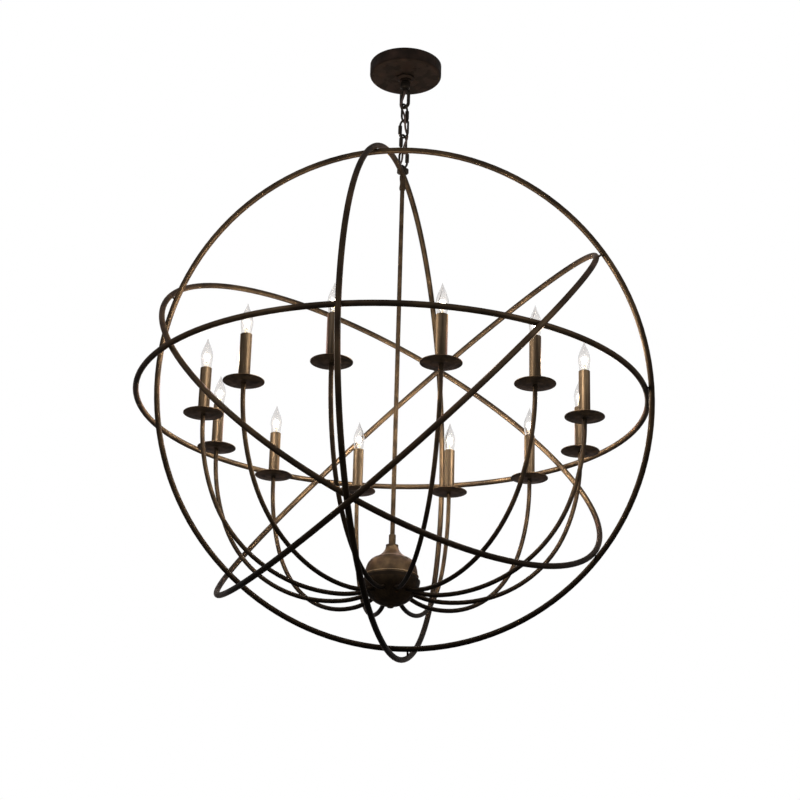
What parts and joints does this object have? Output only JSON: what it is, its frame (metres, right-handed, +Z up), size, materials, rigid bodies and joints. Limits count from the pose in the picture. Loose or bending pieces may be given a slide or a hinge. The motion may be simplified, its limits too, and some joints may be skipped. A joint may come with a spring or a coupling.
{
  "type": "chandelier",
  "caption": "Orb chandelier: crossing round hoops around a ring of candle lights on curved arms from a central hub, hung from a ceiling canopy on a short chain with its supply cord.",
  "frame": {"origin": "centre of the canopy's top plane, on the ceiling and on the stem axis", "axes": "+Z up to the ceiling, X to the viewer's right along the crossbar, Y away from the viewer"},
  "size_m": [1.2478, 1.2531, 1.5573],
  "materials": {
    "dark_bronze": "oil-rubbed bronze paint with a soft sheen",
    "chain_black": "near-black satin paint",
    "sleeve_bronze": "streaked aged bronze",
    "steel": "plain zinc-plated steel",
    "cord_brown": "dark brown cord jacket",
    "lead_insulation": "black insulation",
    "socket_plastic": "dark moulded plastic",
    "bulb_glass": "clear glass",
    "bulb_brass": "plain brass base with wires and filament"
  },
  "bodies": {
    "ceiling_fitting": {"mounting_crossbar": "steel", "fitting_hardware": "steel", "canopy_nipple": "steel", "canopy": "dark_bronze", "canopy_collar": "dark_bronze", "canopy_loop": "chain_black", "supply_cord_1": "cord_brown"},
    "chain_link_1": {"chain_link_1": "chain_black", "supply_cord_2": "cord_brown"},
    "chain_link_2": {"chain_link_2": "chain_black", "supply_cord_3": "cord_brown"},
    "chain_link_3": {"chain_link_3": "chain_black", "supply_cord_4": "cord_brown"},
    "chain_link_4": {"chain_link_4": "chain_black", "supply_cord_5": "cord_brown"},
    "fixture": {"stem_loop": "chain_black", "stem_neck": "dark_bronze", "stem_tube": "dark_bronze", "stem_lead": "lead_insulation", "hub_collar": "dark_bronze", "hub_cap": "dark_bronze", "hub_bowl": "dark_bronze", "hub_core": "steel", "hub_splice": "socket_plastic", "fixture_hardware": "dark_bronze", "candle_arms": "dark_bronze", "lamp_leads": "lead_insulation", "bobeches": "dark_bronze", "candle_sleeves": "sleeve_bronze", "lamp_sockets": "socket_plastic", "hoop_pins": "dark_bronze", "front_hoop": "dark_bronze", "side_hoop": "dark_bronze", "level_hoop": "dark_bronze", "left_slanted_hoop": "dark_bronze", "right_slanted_hoop": "dark_bronze"},
    "bulb_01": {"bulb_glass_01": "bulb_glass", "bulb_base_01": "bulb_brass"},
    "bulb_02": {"bulb_glass_02": "bulb_glass", "bulb_base_02": "bulb_brass"},
    "bulb_03": {"bulb_glass_03": "bulb_glass", "bulb_base_03": "bulb_brass"},
    "bulb_04": {"bulb_glass_04": "bulb_glass", "bulb_base_04": "bulb_brass"},
    "bulb_05": {"bulb_glass_05": "bulb_glass", "bulb_base_05": "bulb_brass"},
    "bulb_06": {"bulb_glass_06": "bulb_glass", "bulb_base_06": "bulb_brass"},
    "bulb_07": {"bulb_glass_07": "bulb_glass", "bulb_base_07": "bulb_brass"},
    "bulb_08": {"bulb_glass_08": "bulb_glass", "bulb_base_08": "bulb_brass"},
    "bulb_09": {"bulb_glass_09": "bulb_glass", "bulb_base_09": "bulb_brass"},
    "bulb_10": {"bulb_glass_10": "bulb_glass", "bulb_base_10": "bulb_brass"},
    "bulb_11": {"bulb_glass_11": "bulb_glass", "bulb_base_11": "bulb_brass"},
    "bulb_12": {"bulb_glass_12": "bulb_glass", "bulb_base_12": "bulb_brass"}
  },
  "joints": [
    {"name": "link_1_swing", "type": "hinge", "parent": "ceiling_fitting", "child": "chain_link_1", "pos_m": [0, 0, -0.1216], "axis": [0.829, -0.5592, 0], "range_deg": [-20, 20], "deforming": ["supply_cord_1"]},
    {"name": "link_2_swing", "type": "hinge", "parent": "chain_link_1", "child": "chain_link_2", "pos_m": [0, 0, -0.1644], "axis": [0.5592, 0.829, 0], "range_deg": [-20, 20], "deforming": ["supply_cord_2"]},
    {"name": "link_3_swing", "type": "hinge", "parent": "chain_link_2", "child": "chain_link_3", "pos_m": [0, 0, -0.2088], "axis": [0.829, -0.5592, 0], "range_deg": [-20, 20], "deforming": ["supply_cord_3"]},
    {"name": "link_4_swing", "type": "hinge", "parent": "chain_link_3", "child": "chain_link_4", "pos_m": [0, 0, -0.2532], "axis": [0.5592, 0.829, 0], "range_deg": [-20, 20], "deforming": ["supply_cord_4"]},
    {"name": "fixture_swing", "type": "hinge", "parent": "chain_link_4", "child": "fixture", "pos_m": [0, 0, -0.2976], "axis": [0.829, -0.5592, 0], "range_deg": [-20, 20], "deforming": ["supply_cord_5"]},
    {"name": "bulb_01_turn", "type": "hinge", "parent": "fixture", "child": "bulb_01", "pos_m": [-0.44129, 0.14338, -0.89645], "axis": [0, 0, 1], "range_deg": [0, 1440]},
    {"name": "bulb_02_turn", "type": "hinge", "parent": "fixture", "child": "bulb_02", "pos_m": [-0.45386, -0.09647, -0.89645], "axis": [0, 0, 1], "range_deg": [0, 1440]},
    {"name": "bulb_03_turn", "type": "hinge", "parent": "fixture", "child": "bulb_03", "pos_m": [-0.34482, -0.31048, -0.89645], "axis": [0, 0, 1], "range_deg": [0, 1440]},
    {"name": "bulb_04_turn", "type": "hinge", "parent": "fixture", "child": "bulb_04", "pos_m": [-0.14338, -0.44129, -0.89645], "axis": [0, 0, 1], "range_deg": [0, 1440]},
    {"name": "bulb_05_turn", "type": "hinge", "parent": "fixture", "child": "bulb_05", "pos_m": [0.09647, -0.45386, -0.89645], "axis": [0, 0, 1], "range_deg": [0, 1440]},
    {"name": "bulb_06_turn", "type": "hinge", "parent": "fixture", "child": "bulb_06", "pos_m": [0.31048, -0.34482, -0.89645], "axis": [0, 0, 1], "range_deg": [0, 1440]},
    {"name": "bulb_07_turn", "type": "hinge", "parent": "fixture", "child": "bulb_07", "pos_m": [0.44129, -0.14338, -0.89645], "axis": [0, 0, 1], "range_deg": [0, 1440]},
    {"name": "bulb_08_turn", "type": "hinge", "parent": "fixture", "child": "bulb_08", "pos_m": [0.45386, 0.09647, -0.89645], "axis": [0, 0, 1], "range_deg": [0, 1440]},
    {"name": "bulb_09_turn", "type": "hinge", "parent": "fixture", "child": "bulb_09", "pos_m": [0.34482, 0.31048, -0.89645], "axis": [0, 0, 1], "range_deg": [0, 1440]},
    {"name": "bulb_10_turn", "type": "hinge", "parent": "fixture", "child": "bulb_10", "pos_m": [0.14338, 0.44129, -0.89645], "axis": [0, 0, 1], "range_deg": [0, 1440]},
    {"name": "bulb_11_turn", "type": "hinge", "parent": "fixture", "child": "bulb_11", "pos_m": [-0.09647, 0.45386, -0.89645], "axis": [0, 0, 1], "range_deg": [0, 1440]},
    {"name": "bulb_12_turn", "type": "hinge", "parent": "fixture", "child": "bulb_12", "pos_m": [-0.31048, 0.34482, -0.89645], "axis": [0, 0, 1], "range_deg": [0, 1440]}
  ]
}
